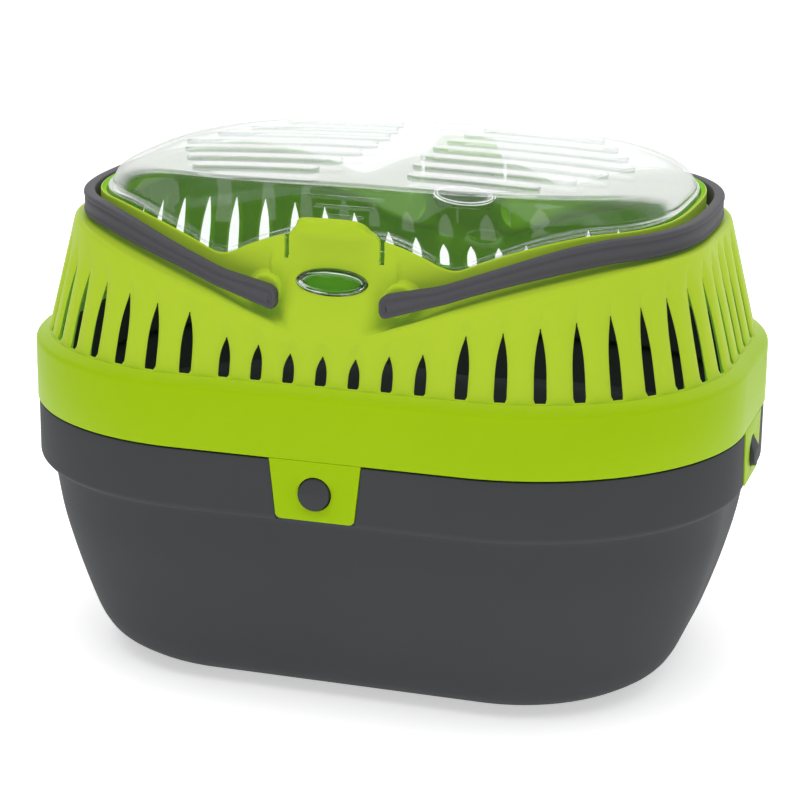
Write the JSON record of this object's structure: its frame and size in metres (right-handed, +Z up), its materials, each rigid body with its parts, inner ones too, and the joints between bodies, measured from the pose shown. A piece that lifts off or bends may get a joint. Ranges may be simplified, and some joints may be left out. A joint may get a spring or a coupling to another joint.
{
  "type": "small pet carrier",
  "caption": "Rounded small-animal carrier: grey tub, slotted green upper shell, clear lift-off lid with oval catches and folding bail handles.",
  "frame": {"origin": "bottom centre of the tub's flat foot", "axes": "+X along the length, +Y from the front catch to the back, +Z up"},
  "size_m": [0.3038, 0.2306, 0.2128],
  "materials": {
    "tub_grey": "satin",
    "lime_green": "gloss",
    "clear": "clear gloss",
    "handle_grey": "satin"
  },
  "bodies": {
    "case": {"base_tub": "tub_grey", "upper_shell": "lime_green"},
    "lid": {"clear_lid": "clear"},
    "front_catch": {"front_lid_catch": "clear"},
    "back_catch": {"back_lid_catch": "clear"},
    "left_handle": {"left_handle": "handle_grey"},
    "right_handle": {"right_handle": "handle_grey"},
    "front_finger_tab": {"front_latch_tab": "lime_green"},
    "back_finger_tab": {"back_latch_tab": "lime_green"},
    "front_clip": {"front_snap_tab": "lime_green"},
    "back_clip": {"back_snap_tab": "lime_green"},
    "left_clip": {"left_snap_tab": "lime_green"},
    "right_clip": {"right_snap_tab": "lime_green"}
  },
  "joints": [
    {"name": "lid_lift", "type": "slide", "parent": "case", "child": "lid", "axis": [0, 0, 1], "range_m": [0, 0.21]},
    {"name": "front_catch_press", "type": "hinge", "parent": "lid", "child": "front_catch", "pos_m": [0, -0.087, 0.1893], "axis": [1, 0, 0], "range_deg": [0, 14], "stiffness_Nm_per_rad": 0.5},
    {"name": "back_catch_press", "type": "hinge", "parent": "lid", "child": "back_catch", "pos_m": [0, 0.087, 0.1893], "axis": [-1, 0, 0], "range_deg": [0, 14], "stiffness_Nm_per_rad": 0.5},
    {"name": "left_handle_swing", "type": "hinge", "parent": "case", "child": "left_handle", "pos_m": [-0.027, 0, 0.1695], "axis": [0, 1, 0], "range_deg": [0, 90]},
    {"name": "right_handle_swing", "type": "hinge", "parent": "case", "child": "right_handle", "pos_m": [0.027, 0, 0.1695], "axis": [0, -1, 0], "range_deg": [0, 90]},
    {"name": "front_finger_tab_flex", "type": "hinge", "parent": "case", "child": "front_finger_tab", "pos_m": [0, -0.0901, 0.18386], "axis": [1, 0, 0], "range_deg": [0, 4], "stiffness_Nm_per_rad": 1},
    {"name": "back_finger_tab_flex", "type": "hinge", "parent": "case", "child": "back_finger_tab", "pos_m": [0, 0.0901, 0.18386], "axis": [-1, 0, 0], "range_deg": [0, 4], "stiffness_Nm_per_rad": 1},
    {"name": "front_clip_flex", "type": "hinge", "parent": "case", "child": "front_clip", "pos_m": [0, -0.1124, 0.1076], "axis": [-1, 0, 0], "range_deg": [0, 10], "stiffness_Nm_per_rad": 0.6},
    {"name": "back_clip_flex", "type": "hinge", "parent": "case", "child": "back_clip", "pos_m": [0, 0.1124, 0.1076], "axis": [1, 0, 0], "range_deg": [0, 10], "stiffness_Nm_per_rad": 0.6},
    {"name": "left_clip_flex", "type": "hinge", "parent": "case", "child": "left_clip", "pos_m": [-0.149, 0, 0.1076], "axis": [0, 1, 0], "range_deg": [0, 10], "stiffness_Nm_per_rad": 0.6},
    {"name": "right_clip_flex", "type": "hinge", "parent": "case", "child": "right_clip", "pos_m": [0.149, 0, 0.1076], "axis": [0, -1, 0], "range_deg": [0, 10], "stiffness_Nm_per_rad": 0.6}
  ]
}
